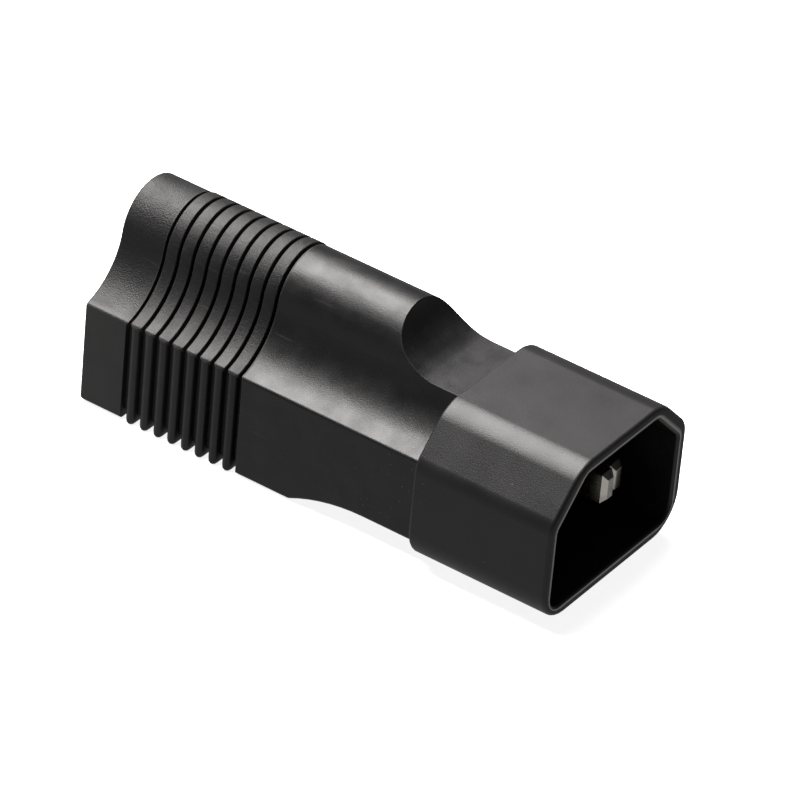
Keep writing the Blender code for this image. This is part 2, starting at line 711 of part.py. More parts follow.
BODY_PVC = make_material("body_pvc", (0.018, 0.018, 0.018), 0.48)
SHROUD_NYLON = make_material("shroud_nylon", (0.016, 0.016, 0.016), 0.42)
BRIDGE_PBT = make_material("bridge_pbt", (0.014, 0.014, 0.014), 0.50)
INSERT_PBT = make_material("insert_pbt", (0.016, 0.016, 0.016), 0.50)
MOULD_PE = make_material("mould_pe", (0.45, 0.44, 0.40), 0.55)
PIN_NICKEL = make_material("pin_nickel", (0.66, 0.63, 0.58), 0.22, 1.0)
CONTACT_BRASS = make_material("contact_brass", (0.70, 0.50, 0.22), 0.30, 1.0)
COPPER = make_material("copper", (0.80, 0.38, 0.22), 0.32, 1.0)
SLEEVE_TIN = make_material("sleeve_tin", (0.62, 0.62, 0.60), 0.35, 1.0)
WIRE_COLOURS = {
    "line": make_material("line_insulation", (0.015, 0.015, 0.015), 0.45),
    "neutral": make_material("neutral_insulation", (0.70, 0.70, 0.68), 0.45),
    "ground": make_material("ground_insulation", (0.03, 0.25, 0.07), 0.45),
}

make_overmould()
make_shroud()
make_bridge()
make_pin("line", "line_pin", POWER_PIN_RECESS)
make_pin("neutral", "neutral_pin", POWER_PIN_RECESS)
make_pin("ground", "earth_pin", EARTH_PIN_RECESS)
make_insert()
make_cover()
make_contact("line", POWER_LEAF_GAP, POWER_CONTACT_HEIGHT)
make_contact("neutral", POWER_LEAF_GAP, POWER_CONTACT_HEIGHT)
make_contact("ground", GROUND_LEAF_GAP, GROUND_CONTACT_HEIGHT)
for circuit_name in SIDES:
    make_conductor(circuit_name)
make_inner_mould()
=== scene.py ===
import math

import bmesh
import bpy
from mathutils import Matrix, Vector


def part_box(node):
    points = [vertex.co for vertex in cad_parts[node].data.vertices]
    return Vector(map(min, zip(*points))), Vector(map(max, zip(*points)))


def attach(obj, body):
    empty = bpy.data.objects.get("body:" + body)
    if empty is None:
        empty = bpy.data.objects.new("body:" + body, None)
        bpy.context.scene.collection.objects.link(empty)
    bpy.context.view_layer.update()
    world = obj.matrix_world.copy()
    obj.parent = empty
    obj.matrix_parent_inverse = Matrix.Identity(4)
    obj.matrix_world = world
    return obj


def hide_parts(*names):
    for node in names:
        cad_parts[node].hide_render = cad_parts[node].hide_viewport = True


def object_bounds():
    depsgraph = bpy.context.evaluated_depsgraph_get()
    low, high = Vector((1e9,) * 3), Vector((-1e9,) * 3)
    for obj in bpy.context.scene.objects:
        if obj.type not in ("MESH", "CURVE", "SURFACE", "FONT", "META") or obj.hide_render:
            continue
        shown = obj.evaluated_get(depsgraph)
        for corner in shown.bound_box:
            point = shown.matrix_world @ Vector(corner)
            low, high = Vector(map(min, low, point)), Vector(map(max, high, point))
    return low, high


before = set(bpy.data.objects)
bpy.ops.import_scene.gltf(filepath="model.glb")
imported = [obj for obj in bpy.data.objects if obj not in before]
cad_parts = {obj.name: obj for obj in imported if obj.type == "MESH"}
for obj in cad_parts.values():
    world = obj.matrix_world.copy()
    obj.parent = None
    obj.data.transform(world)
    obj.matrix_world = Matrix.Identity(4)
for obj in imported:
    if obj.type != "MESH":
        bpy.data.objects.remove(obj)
cad_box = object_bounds()


# Receptacle insert.
# The block behind the receptacle's face, injection moulded in black PBT. It has two blade
# slots, the ground hole and a chamber behind each of them, open to the back.

MM = 0.001
SEAM = 0.05  # clearance left where two pieces close on each other
NEAR = 1e-3  # points closer than this count as one
EASE_STEPS = 4  # flat steps in a rounded edge


def place(node):
    """Lowest and highest corner of a CAD node, in millimetres."""
    low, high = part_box(node)
    return low / MM, high / MM


def loop(bm, x, corners):
    """Edges of a closed outline across x; a corner is (y, z, how far back it is rounded)."""
    known = set(bm.edges)
    points = [bm.verts.new((x, y, z)) for y, z, back in corners]
    bm.faces.new(points)
    for back in sorted({corner[2] for corner in corners if corner[2] > 0.0}):
        bmesh.ops.bevel(
            bm,
            geom=[point for point, corner in zip(points, corners) if corner[2] == back],
            offset=back,
            segments=8,
            profile=0.5,
            affect="VERTICES",
            material=-1,
        )
    made = [edge for edge in bm.edges if edge not in known]
    flat = list({face for edge in made for face in edge.link_faces})
    bmesh.ops.delete(bm, geom=flat, context="FACES_ONLY")
    return made


def fill(bm, *loops):
    """A flat face inside the first outline and round the others."""
    edges = [edge for outline in loops for edge in outline]
    bmesh.ops.triangle_fill(bm, use_beauty=True, use_dissolve=False, edges=edges)


def loft(bm, rings):
    """Walls through a row of outlines, each (x, corners); the first and last are returned."""
    loops = [loop(bm, x, corners) for x, corners in rings]
    for index in range(1, len(loops)):
        near, far = loops[index - 1 : index + 1]
        if abs(rings[index][0] - rings[index - 1][0]) < 1e-6:
            fill(bm, near, far)
        else:
            bmesh.ops.bridge_loops(bm, edges=near + far)
    return loops[0], loops[-1]


def grown(corners, by):
    """The outline moved outwards all round; its corners run anticlockwise seen from +x."""
    moved = []
    for index, (y, z, back) in enumerate(corners):
        corner = Vector((y, z))
        before = (corner - Vector(corners[index - 1][:2])).normalized()
        after = (Vector(corners[(index + 1) % len(corners)][:2]) - corner).normalized()
        spread = 1 + before.dot(after)
        shift = Vector((before.y + after.y, -before.x - after.x)) * by / spread
        turn = (before.x * after.y - before.y * after.x) / spread
        moved.append((y + shift.x, z + shift.y, max(0.02, back + by * turn) if back else 0.0))
    return moved


def eased(x, corners, radius, way, hole=False):
    """Outlines of a rounded edge where a wall meets an end at x that faces way."""
    rings = []
    for step in range(EASE_STEPS + 1):
        angle = math.radians(90 / EASE_STEPS * step)
        let_in = radius * (1 - math.sin(angle))
        ring = grown(corners, let_in if hole else -let_in)
        rings.append((x - way * radius * (1 - math.cos(angle)), ring))
    return rings


def mirrored(right):
    """An outline from the corners of its right half, lowest first."""
    return right + [(-y, z, back) for y, z, back in reversed(right)]


def block(y, z, half_width, half_height, back):
    """Corners of a rectangle round (y, z)."""
    return [
        (y + half_width, z - half_height, back),
        (y + half_width, z + half_height, back),
        (y - half_width, z + half_height, back),
        (y - half_width, z - half_height, back),
    ]


def add(tree, kind, sockets, out=0, **settings):
    """Add a node with its settings, values and links, and return one of its outputs."""
    node = tree.nodes.new("ShaderNode" + kind)
    for name, value in settings.items():
        setattr(node, name, value)
    for key, value in sockets.items():
        if isinstance(value, bpy.types.NodeSocket):
            tree.links.new(value, node.inputs[key])
        else:
            node.inputs[key].default_value = value
    return node.outputs[out]


def linear(colour):
    """An sRGB hex colour as linear red, green, blue and alpha."""
    shares = [int(colour[at : at + 2], 16) / 255 for at in (1, 3, 5)]
    return [s / 12.92 if s <= 0.04045 else ((s + 0.055) / 1.055) ** 2.4 for s in shares] + [1.0]


def scale_of(size):
    """Texture scale of a pattern whose features are this many millimetres wide."""
    return 1 / (size * MM)


def start_material(name, sockets):
    """A new material with constants on its shader; returns it, its tree and Object coordinates."""
    material = bpy.data.materials.new(name)
    material.use_nodes = True
    shader = material.node_tree.nodes["Principled BSDF"]
    for key, value in sockets.items():
        shader.inputs[key].default_value = value
    return material, material.node_tree, add(material.node_tree, "TexCoord", {}, out=3)


def drive(tree, sockets):
    """Link outputs to the shader."""
    shader = tree.nodes["Principled BSDF"]
    for key, value in sockets.items():
        tree.links.new(value, shader.inputs[key])


def finished(bm, name, replaced, material, sharp=35):
    """Turn a bmesh in millimetres into a piece in its place on the adapter."""
    bmesh.ops.remove_doubles(bm, verts=bm.verts, dist=NEAR)
    bmesh.ops.recalc_face_normals(bm, faces=bm.faces)
    bmesh.ops.scale(bm, vec=(MM, MM, MM), verts=bm.verts)
    mesh = bpy.data.meshes.new(name)
    bm.to_mesh(mesh)
    bm.free()
    mesh.polygons.foreach_set("use_smooth", [True] * len(mesh.polygons))
    mesh.set_sharp_from_angle(angle=math.radians(sharp))
    mesh.materials.append(material)
    piece = bpy.data.objects.new(name, mesh)
    bpy.context.scene.collection.objects.link(piece)
    weights = piece.modifiers.new("face weights", "WEIGHTED_NORMAL")
    weights.keep_sharp = True
    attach(piece, "root")
    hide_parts(replaced)
    return piece


# Moulded PBT: a hard, slightly chalky black from a spark-eroded mould. The eye sees an even
# fine grain and a dull sheen, a little glossier where the plastic lay against the slots.
# The real grain of about 0.05 mm is drawn 0.12 mm wide so that it shows.
pbt, tree, spot = start_material("spark_eroded_black_pbt", {"IOR": 1.57, "Roughness": 0.5})
cloud = add(tree, "TexNoise", {"Vector": spot, "Scale": scale_of(3.5), "Detail": 3.0})
grain = add(tree, "TexNoise", {"Vector": spot, "Scale": scale_of(0.12), "Detail": 2.0})
tone = add(
    tree,
    "Mix",
    {0: cloud, 6: linear("#1a1a1b"), 7: linear("#232324")},
    out=2,
    data_type="RGBA",
)
rough = add(tree, "MapRange", {"Value": cloud, "From Min": 0.3, "To Min": 0.44, "To Max": 0.6})
bump = add(tree, "Bump", {"Strength": 0.5, "Distance": 0.015 * MM, "Height": grain})
drive(tree, {"Base Color": tone, "Roughness": rough, "Normal": bump})

insert_low, insert_high = place("receptacle_insert")
BACK = insert_low.x
FACE_WALL = 2.4
INSERT_SHOULDER = 12.1
INSERT_STEM = 4.0
INSERT_CORNER = 1.0
INSERT_TOP_CORNER = 3.7
INSERT_EASE = 0.2
BLADE_HEIGHT = 7.0
SLOT_APART = 12.7
SLOT_WIDTH = 2.1
SLOT_CORNER = 0.15
SLOT_EASE = 0.35
LINE_SLOT = 6.9
NEUTRAL_SLOT = 8.0
GROUND_HEIGHT = 18.9
GROUND_RADIUS = 2.8
GROUND_FLAT = 2.4  # centre of the ground hole to its flat side
GROUND_CORNER = 0.2
BLADE_CHAMBER = (1.85, 4.0, 0.3)  # half width, half height and rounding of the corners
GROUND_CHAMBER = (3.4, 2.8, 0.3)
insert_outline = mirrored(
    [
        (insert_high.y, insert_low.z, INSERT_CORNER),
        (insert_high.y, INSERT_SHOULDER, INSERT_CORNER),
        (INSERT_STEM, INSERT_SHOULDER, 0.0),
        (INSERT_STEM, insert_high.z, INSERT_TOP_CORNER),
    ]
)
round_top = GROUND_RADIUS - 0.01  # a little flat is left between the two quarters
ground_hole = mirrored(
    [
        (GROUND_RADIUS, GROUND_HEIGHT - GROUND_FLAT, GROUND_CORNER),
        (GROUND_RADIUS, GROUND_HEIGHT + GROUND_RADIUS, round_top),
    ]
)
half_apart = SLOT_APART / 2
passages = []
for y, height in ((half_apart, LINE_SLOT), (-half_apart, NEUTRAL_SLOT)):
    blade_slot = block(y, BLADE_HEIGHT, SLOT_WIDTH / 2, height / 2, SLOT_CORNER)
    passages.append((blade_slot, block(y, BLADE_HEIGHT, *BLADE_CHAMBER)))
passages.append((ground_hole, block(0.0, GROUND_HEIGHT, *GROUND_CHAMBER)))
bm = bmesh.new()
wall = BACK + FACE_WALL
rings = eased(BACK, insert_outline, INSERT_EASE, -1) + [(insert_high.x, insert_outline)]
face_edge, rear_edge = loft(bm, rings)
mouths, rears = [face_edge], [rear_edge]
for opening, chamber in passages:
    rings = eased(BACK, opening, SLOT_EASE, -1, hole=True) + [(wall, opening)]
    mouth, throat = loft(bm, rings)
    step, rear = loft(bm, [(wall, chamber), (insert_high.x, chamber)])
    fill(bm, step, throat)
    mouths.append(mouth)
    rears.append(rear)
fill(bm, *mouths)
fill(bm, *rears)
finished(bm, "receptacle_block", "receptacle_insert", pbt)


# Receptacle contacts.
# Three folded strips of cartridge brass, stamped and bent, with two sprung leaves that grip
# a blade or the round ground pin and a barrel that is crimped to the wire.


def dress(node, material):
    """Give its real material to a CAD mesh that is shown as it is."""
    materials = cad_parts[node].data.materials
    materials.clear()
    materials.append(material)


# Rolled brass: a warm yellow metal with fine lines along the strip from the rolls, drawn
# 0.08 mm apart, and faint brown tarnish. The lines stretch its reflections across them.
brass, tree, spot = start_material("rolled_cartridge_brass", {"Metallic": 1.0})
along = add(tree, "Mapping", {"Vector": spot, "Scale": (0.05, 1.0, 1.0)})
lines = add(tree, "TexNoise", {"Vector": along, "Scale": scale_of(0.08), "Detail": 2.0})
cloud = add(tree, "TexNoise", {"Vector": spot, "Scale": scale_of(2.5), "Detail": 4.0})
tarnish = add(tree, "MapRange", {"Value": cloud, "From Min": 0.45, "From Max": 0.75})
tone = add(
    tree,
    "Mix",
    {0: tarnish, 6: linear("#d4b36a"), 7: linear("#a37f45")},
    out=2,
    data_type="RGBA",
)
rough = add(tree, "MapRange", {"Value": lines, "To Min": 0.2, "To Max": 0.42})
bump = add(tree, "Bump", {"Strength": 0.3, "Distance": 0.006 * MM, "Height": lines})
drive(tree, {"Base Color": tone, "Roughness": rough, "Normal": bump})
for node in ("line_contact", "neutral_contact", "ground_contact"):
    dress(node, brass)


# Back cover of the receptacle.
# A flat plate of the same PBT, pushed over the tails of the contacts to shut their chambers.

dress("receptacle_back_cover", pbt)


# Conductors.
# Three short stranded copper wires in extruded PVC: black for line, white for neutral and
# green for ground. One end goes into the barrel of a contact, the other into a sleeve.

GAP = 0.3  # left between touching pieces in the CAD
CORE_RADIUS = 0.75
STRAND_RADIUS = 0.25
STRANDS = 7  # six round one in the middle
LAY_LENGTH = 12.0  # the strands turn once round in this length
JACKET_RADIUS = 1.5
JACKET_BORE = 1.0
STRAIGHT_END = 0.8  # from the end of the run, one gap beyond the jacket
EARTH_PIN_HEIGHT = 12.4
POWER_PIN_HEIGHT = 8.4
POWER_PIN_APART = 14.0
wire_ends = {
    "line": ((half_apart, BLADE_HEIGHT), (POWER_PIN_APART / 2, POWER_PIN_HEIGHT)),
    "neutral": ((-half_apart, BLADE_HEIGHT), (-POWER_PIN_APART / 2, POWER_PIN_HEIGHT)),
    "ground": ((0.0, GROUND_HEIGHT), (0.0, EARTH_PIN_HEIGHT)),
}


def wire_middle(circuit, x, span):
    """Middle of a wire at x: straight at each end of its jacket's span, eased between them."""
    contact, pin = (Vector(end) for end in wire_ends[circuit])
    start, stop = span[0] + STRAIGHT_END - GAP, span[1] - STRAIGHT_END + GAP
    share = min(1.0, max(0.0, (x - start) / (stop - start)))
    y, z = contact.lerp(pin, share * share * (3 - 2 * share))
    return Vector((x, y, z))


def sweep(bm, points, radius, sides=12):
    """A round wall along a path; the first and last ring of edges are returned."""
    rings = []
    for index, point in enumerate(points):
        ahead = points[min(index + 1, len(points) - 1)] - points[max(index - 1, 0)]
        turned = Matrix.Translation(point) @ ahead.to_track_quat("Z", "Y").to_matrix().to_4x4()
        made = bmesh.ops.create_circle(bm, segments=sides, radius=radius, matrix=turned)
        rings.append(list({edge for vert in made["verts"] for edge in vert.link_edges}))
    for near, far in zip(rings, rings[1:]):
        bmesh.ops.bridge_loops(bm, edges=near + far)
    return rings[0], rings[-1]


def steps_along(low, high, length):
    """Even steps of about this length from low to high."""
    count = max(2, round((high - low) / length))
    return [low + (high - low) * step / count for step in range(count + 1)]


# Drawn bare copper: a soft reddish metal, bright along each strand and browner where air
# has dulled it. The drawing lines, finer than the eye can part, are drawn 0.05 mm wide.
copper, tree, spot = start_material("drawn_bare_copper", {"Metallic": 1.0})
cloud = add(tree, "TexNoise", {"Vector": spot, "Scale": scale_of(1.2), "Detail": 4.0})
dull = add(tree, "MapRange", {"Value": cloud, "From Min": 0.4, "From Max": 0.75})
tone = add(
    tree,
    "Mix",
    {0: dull, 6: linear("#cf8259"), 7: linear("#8f5239")},
    out=2,
    data_type="RGBA",
)
along = add(tree, "Mapping", {"Vector": spot, "Scale": (0.06, 1.0, 1.0)})
lines = add(tree, "TexNoise", {"Vector": along, "Scale": scale_of(0.05), "Detail": 1.0})
rough = add(tree, "MapRange", {"Value": lines, "To Min": 0.22, "To Max": 0.45})
bump = add(tree, "Bump", {"Strength": 0.25, "Distance": 0.004 * MM, "Height": lines})
drive(tree, {"Base Color": tone, "Roughness": rough, "Normal": bump})


def extruded_pvc(name, light, dark):
    """Wire PVC: a smooth soft skin with slight waves from the extruder and a waxy sheen."""
    material, tree, spot = start_material(name, {"IOR": 1.53})
    cloud = add(tree, "TexNoise", {"Vector": spot, "Scale": scale_of(4.0), "Detail": 3.0})
    skin = add(tree, "TexNoise", {"Vector": spot, "Scale": scale_of(0.4), "Detail": 2.0})
    tone = add(
        tree,
        "Mix",
        {0: cloud, 6: linear(light), 7: linear(dark)},
        out=2,
        data_type="RGBA",
    )
    rough = add(tree, "MapRange", {"Value": cloud, "To Min": 0.3, "To Max": 0.48})
    bump = add(tree, "Bump", {"Strength": 0.3, "Distance": 0.02 * MM, "Height": skin})
    drive(tree, {"Base Color": tone, "Roughness": rough, "Normal": bump})
    return material


jackets = {
    "line": extruded_pvc("extruded_black_pvc", "#2b2b2c", "#1d1d1e"),
    "neutral": extruded_pvc("extruded_white_pvc", "#e4e3de", "#cfcdc5"),
    "ground": extruded_pvc("extruded_green_pvc", "#1f7a45", "#155c32"),
}
for circuit, jacket_material in jackets.items():
    core_low, core_high = place(f"{circuit}_wire_core")
    jacket_low, jacket_high = place(f"{circuit}_wire_insulation")
    span = (jacket_low.x, jacket_high.x)
    bm = bmesh.new()
    for strand in range(STRANDS):
        away = 0.0 if strand == STRANDS - 1 else CORE_RADIUS - STRAND_RADIUS
        path = []
        for x in steps_along(core_low.x, core_high.x, 0.8):
            angle = math.radians(60 * strand) + 2 * math.pi * (x - core_low.x) / LAY_LENGTH
            around = Vector((0.0, math.cos(angle), math.sin(angle))) * away
            path.append(wire_middle(circuit, x, span) + around)
        for end in sweep(bm, path, STRAND_RADIUS - 0.01, sides=10):
            fill(bm, end)
    finished(bm, f"{circuit}_strands", f"{circuit}_wire_core", copper)
    bm = bmesh.new()
    path = [wire_middle(circuit, x, span) for x in steps_along(*span, 0.5)]
    outside = sweep(bm, path, JACKET_RADIUS, sides=24)
    inside = sweep(bm, path, JACKET_BORE, sides=24)
    for outer_end, inner_end in zip(outside, inside):
        bmesh.ops.bridge_loops(bm, edges=outer_end + inner_end)
    node = f"{circuit}_wire_insulation"
    finished(bm, f"{circuit}_jacket", node, jacket_material)


# Crimp sleeves.
# Seamless copper sleeves, tin plated, each pressed in two places onto a wire and the tail
# of its pin. The press leaves two shallow waists and smooth, slightly belled ends.

SLEEVE_RADIUS = 1.5
SLEEVE_BORE = 1.05
# One waist, as shares of the length and how far the wall moves outwards there.
WAIST = [(0.0, 0.0), (0.05, 0.0), (0.14, -0.08), (0.2, -0.28), (0.38, -0.28), (0.44, -0.04)]

# Bright tin plate: a pale, faintly warm metal, soft enough to be covered in tiny rubs, so
# that its reflections are milky. The rubs are drawn 0.1 mm wide.
tin, tree, spot = start_material("bright_tin_plate", {"Metallic": 1.0})
rubs = add(tree, "TexNoise", {"Vector": spot, "Scale": scale_of(0.1), "Detail": 3.0})
cloud = add(tree, "TexNoise", {"Vector": spot, "Scale": scale_of(1.5), "Detail": 2.0})
tone = add(
    tree,
    "Mix",
    {0: cloud, 6: linear("#d3d2cd"), 7: linear("#b3b2ae")},
    out=2,
    data_type="RGBA",
)
rough = add(tree, "MapRange", {"Value": rubs, "To Min": 0.24, "To Max": 0.5})
bump = add(tree, "Bump", {"Strength": 0.3, "Distance": 0.005 * MM, "Height": rubs})
drive(tree, {"Base Color": tone, "Roughness": rough, "Normal": bump})


def disc(middle, radius):
    """A round outline about (y, z)."""
    return block(*middle, radius, radius, radius - NEAR)


for circuit, ends in wire_ends.items():
    pin_end = ends[1]
    low, high = place(f"{circuit}_crimp_sleeve")
    length = high.x - low.x
    waists = WAIST + [(1 - share, press) for share, press in WAIST[::-1]]
    rings = [(low.x + share * length, disc(pin_end, SLEEVE_RADIUS + p)) for share, p in waists]
    bm = bmesh.new()
    outside = loft(bm, rings)
    inside = loft(bm, [(x, disc(pin_end, SLEEVE_BORE)) for x in (low.x, high.x)])
    for outer_end, inner_end in zip(outside, inside):
        bmesh.ops.bridge_loops(bm, edges=outer_end + inner_end)
    finished(bm, f"{circuit}_sleeve", f"{circuit}_crimp_sleeve", tin)


# Pins of the inlet.
# Three flat brass pins, nickel plated, with chamfered tips and a round tail at the back
# for the crimp sleeve. They are pushed through the pin bridge from behind.

PIN_HALF_WIDTH = 1.0
PIN_HALF_HEIGHT = 2.0
PIN_CORNER = 0.12
PIN_TAIL_RADIUS = 0.75
TAIL_CHAMFER = 0.15
TIP_LENGTH = 0.75
TIP_IN_ACROSS = 0.42  # how far the tip is let in on the narrow and on the tall sides
TIP_IN_UP = 0.6
TIP_EASE = 0.1

# Nickel plate over ground brass: bright, a little yellow, with fine lines along the pin from
# the drawing die, drawn 0.06 mm apart, and a few dull rubs from being plugged in.
nickel, tree, spot = start_material("bright_nickel_plate", {"Metallic": 1.0})
along = add(tree, "Mapping", {"Vector": spot, "Scale": (0.04, 1.0, 1.0)})
lines = add(tree, "TexNoise", {"Vector": along, "Scale": scale_of(0.06), "Detail": 2.0})
cloud = add(tree, "TexNoise", {"Vector": spot, "Scale": scale_of(1.8), "Detail": 3.0})
rubs_and_painted_highlight = add(tree, "MapRange", {"Value": cloud, "From Min": 0.5, "From Max": 0.75})
tone = add(
    tree,
    "Mix",
    {0: rubs_and_painted_highlight, 6: linear("#d9d5cc"), 7: linear("#b5afa3")},
    out=2,
    data_type="RGBA",
)
rough = add(tree, "MapRange", {"Value": lines, "To Min": 0.14, "To Max": 0.32})
bump = add(tree, "Bump", {"Strength": 0.25, "Distance": 0.004 * MM, "Height": lines})
drive(tree, {"Base Color": tone, "Roughness": rough, "Normal": bump})

shroud_low, shroud_high = place("inlet_shroud")
bridge_low, bridge_high = place("pin_bridge")
pin_middles = {
    "line_pin": wire_ends["line"][1],
    "neutral_pin": wire_ends["neutral"][1],
    "earth_pin": wire_ends["ground"][1],
}
for node, middle in pin_middles.items():
    pin_low, pin_high = place(node)
    tip = pin_high.x
    shank = block(*middle, PIN_HALF_WIDTH, PIN_HALF_HEIGHT, PIN_CORNER)
    nose = block(
        *middle,
        PIN_HALF_WIDTH - TIP_IN_ACROSS,
        PIN_HALF_HEIGHT - TIP_IN_UP,
        PIN_CORNER,
    )
    rings = [
        (pin_low.x, disc(middle, PIN_TAIL_RADIUS - TAIL_CHAMFER)),
        (pin_low.x + TAIL_CHAMFER, disc(middle, PIN_TAIL_RADIUS)),
        (bridge_low.x, disc(middle, PIN_TAIL_RADIUS)),
        (bridge_low.x, shank),
        (tip - TIP_LENGTH, shank),
        (tip - TIP_LENGTH + TIP_EASE, grown(shank, -0.03)),
        (tip - TIP_EASE, nose),
        (tip - 0.03, grown(nose, -0.04)),
        (tip, grown(nose, -0.12)),
    ]
    bm = bmesh.new()
    for end in loft(bm, rings):
        fill(bm, end)
    finished(bm, f"plated_{node}", node, nickel)


# Pin bridge.
# A block of the same black PBT as the receptacle. It carries the three pins and is pushed
# into the collar of the shroud until its flange stops it.

BRIDGE_MARGIN = 1.2  # plastic around the group of pins
BRIDGE_CHAMFER = 4.0
BRIDGE_CORNER = 0.5
BRIDGE_CHAMFER_CORNER = 0.1
BRIDGE_EASE = 0.2
PIN_SLOT_CORNER = 0.15
COLLAR_GROWTH = 1.5  # bridge outline to the outside of its flange and of the collar
collar_back = shroud_low.x
cavity_floor = bridge_high.x
bridge_half = POWER_PIN_APART / 2 + PIN_HALF_WIDTH + BRIDGE_MARGIN
bridge_base = POWER_PIN_HEIGHT - PIN_HALF_HEIGHT - BRIDGE_MARGIN
bridge_top = EARTH_PIN_HEIGHT + PIN_HALF_HEIGHT + BRIDGE_MARGIN
bridge_outline = mirrored(
    [
        (bridge_half, bridge_base, BRIDGE_CORNER),
        (bridge_half, bridge_top - BRIDGE_CHAMFER, BRIDGE_CHAMFER_CORNER),
        (bridge_half - BRIDGE_CHAMFER, bridge_top, BRIDGE_CHAMFER_CORNER),
    ]
)
flange_outline = grown(bridge_outline, COLLAR_GROWTH)
flange_front = collar_back - GAP
rings = [
    (bridge_low.x, flange_outline),
    (flange_front, flange_outline),
    (flange_front, bridge_outline),
] + eased(cavity_floor, bridge_outline, BRIDGE_EASE, 1)[::-1]
bm = bmesh.new()
backs, fronts = ([edge] for edge in loft(bm, rings))
for middle in pin_middles.values():
    slot = block(*middle, PIN_HALF_WIDTH + SEAM, PIN_HALF_HEIGHT + SEAM, PIN_SLOT_CORNER)
    near, far = loft(bm, [(bridge_low.x, slot), (cavity_floor, slot)])
    backs.append(near)
    fronts.append(far)
fill(bm, *backs)
fill(bm, *fronts)
finished(bm, "pin_carrier", "pin_bridge", pbt)


# Inlet shroud.
# The hard outer wall of the C14 inlet, injection moulded in black nylon. Its rear wall closes
# the cavity round the pin bridge and its collar anchors it in the outer body.

RIM = shroud_high.x
SHROUD_BACK = 14.65
WALL = 1.65
REAR_EASE = 0.45
RIM_EASE = 0.45
MOUTH_EASE = 0.4
SHROUD_CHAMFER = 5.6
SHROUD_CORNERS = (4.8, 1.2, 2.0)  # rounding of each corner of the right half, lowest first
CAVITY_CHAMFER = 5.1
CAVITY_CORNERS = (2.0, 0.42, 0.42)
FLOOR_EASE = 0.3  # where the cavity's walls meet its floor
FLOOR_EASE_PART = 0.08  # and half way round that edge
cavity_half = shroud_high.y - WALL
cavity_base = shroud_low.z + WALL
cavity_top = shroud_high.z - WALL
cavity = mirrored(
    [
        (cavity_half, cavity_base, CAVITY_CORNERS[0]),
        (cavity_half, cavity_top - CAVITY_CHAMFER, CAVITY_CORNERS[1]),
        (cavity_half - CAVITY_CHAMFER, cavity_top, CAVITY_CORNERS[2]),
    ]
)
shroud_outline = mirrored(
    [
        (shroud_high.y, shroud_low.z, SHROUD_CORNERS[0]),
        (shroud_high.y, shroud_high.z - SHROUD_CHAMFER, SHROUD_CORNERS[1]),
        (shroud_high.y - SHROUD_CHAMFER, shroud_high.z, SHROUD_CORNERS[2]),
    ]
)
window = grown(bridge_outline, SEAM)
rings = [(collar_back, window), (collar_back, flange_outline), (SHROUD_BACK, flange_outline)]
rings += eased(SHROUD_BACK, shroud_outline, REAR_EASE, -1)
rings += eased(RIM, shroud_outline, RIM_EASE, 1)[::-1]
inside = eased(RIM, cavity, MOUTH_EASE, 1, hole=True)
inside += [
    (cavity_floor + FLOOR_EASE, cavity),
    (cavity_floor + FLOOR_EASE_PART, grown(cavity, -FLOOR_EASE_PART)),
    (cavity_floor, grown(cavity, -FLOOR_EASE)),
    (cavity_floor, window),
    (collar_back, window),
]
bm = bmesh.new()
# The points round the mouth of the cavity are marked for a painted highlight there.
rubs_and_painted_highlight = bm.verts.layers.float.new("rubs_and_painted_highlight")
rim_edge = loft(bm, rings)[1]
mouth_edge = loft(bm, inside)[0]
fill(bm, rim_edge, mouth_edge)
for edge in mouth_edge:
    for vert in edge.verts:
        vert[rubs_and_painted_highlight] = 1.0

# Moulded nylon: hard, near black and satin. The eye sees a soft wide highlight on flat faces
# that waver a little, a fine grain, drawn 0.16 mm wide, pale specks of dust and rubbed
# edges that are slightly lighter and glossier. A pale line round the mouth of the cavity is
# a painted highlight.
nylon, tree, spot = start_material("moulded_black_nylon", {"IOR": 1.53})
cloud = add(tree, "TexNoise", {"Vector": spot, "Scale": scale_of(5.0), "Detail": 4.0})
grain = add(tree, "TexNoise", {"Vector": spot, "Scale": scale_of(0.16), "Detail": 2.0})
waver = add(tree, "TexNoise", {"Vector": spot, "Scale": scale_of(6.0), "Detail": 1.0})
tone = add(
    tree,
    "Mix",
    {0: cloud, 6: linear("#191819"), 7: linear("#222122")},
    out=2,
    data_type="RGBA",
)
dots = add(tree, "TexVoronoi", {"Vector": spot, "Scale": scale_of(1.6)})
speck = add(tree, "MapRange", {"Value": dots, "From Min": 0.07, "From Max": 0.03})
some = add(tree, "Math", {0: cloud, 1: 0.55}, operation="GREATER_THAN")
speck = add(tree, "Math", {0: speck, 1: some}, operation="MULTIPLY")
speck = add(tree, "Math", {0: speck, 1: 0.35}, operation="MULTIPLY")
tone = add(tree, "Mix", {0: speck, 6: tone, 7: linear("#8d8a86")}, out=2, data_type="RGBA")
soft = add(tree, "Bevel", {"Radius": 0.5 * MM}, samples=6)
flat = add(tree, "NewGeometry", {}, out=1)
edge = add(tree, "VectorMath", {0: soft, 1: flat}, out=1, operation="DOT_PRODUCT")
edge = add(tree, "MapRange", {"Value": edge, "From Min": 0.995, "From Max": 0.9})
worn = add(tree, "Math", {0: edge, 1: grain}, operation="MULTIPLY")
tone = add(tree, "Mix", {0: worn, 6: tone, 7: linear("#4b4a4a")}, out=2, data_type="RGBA")
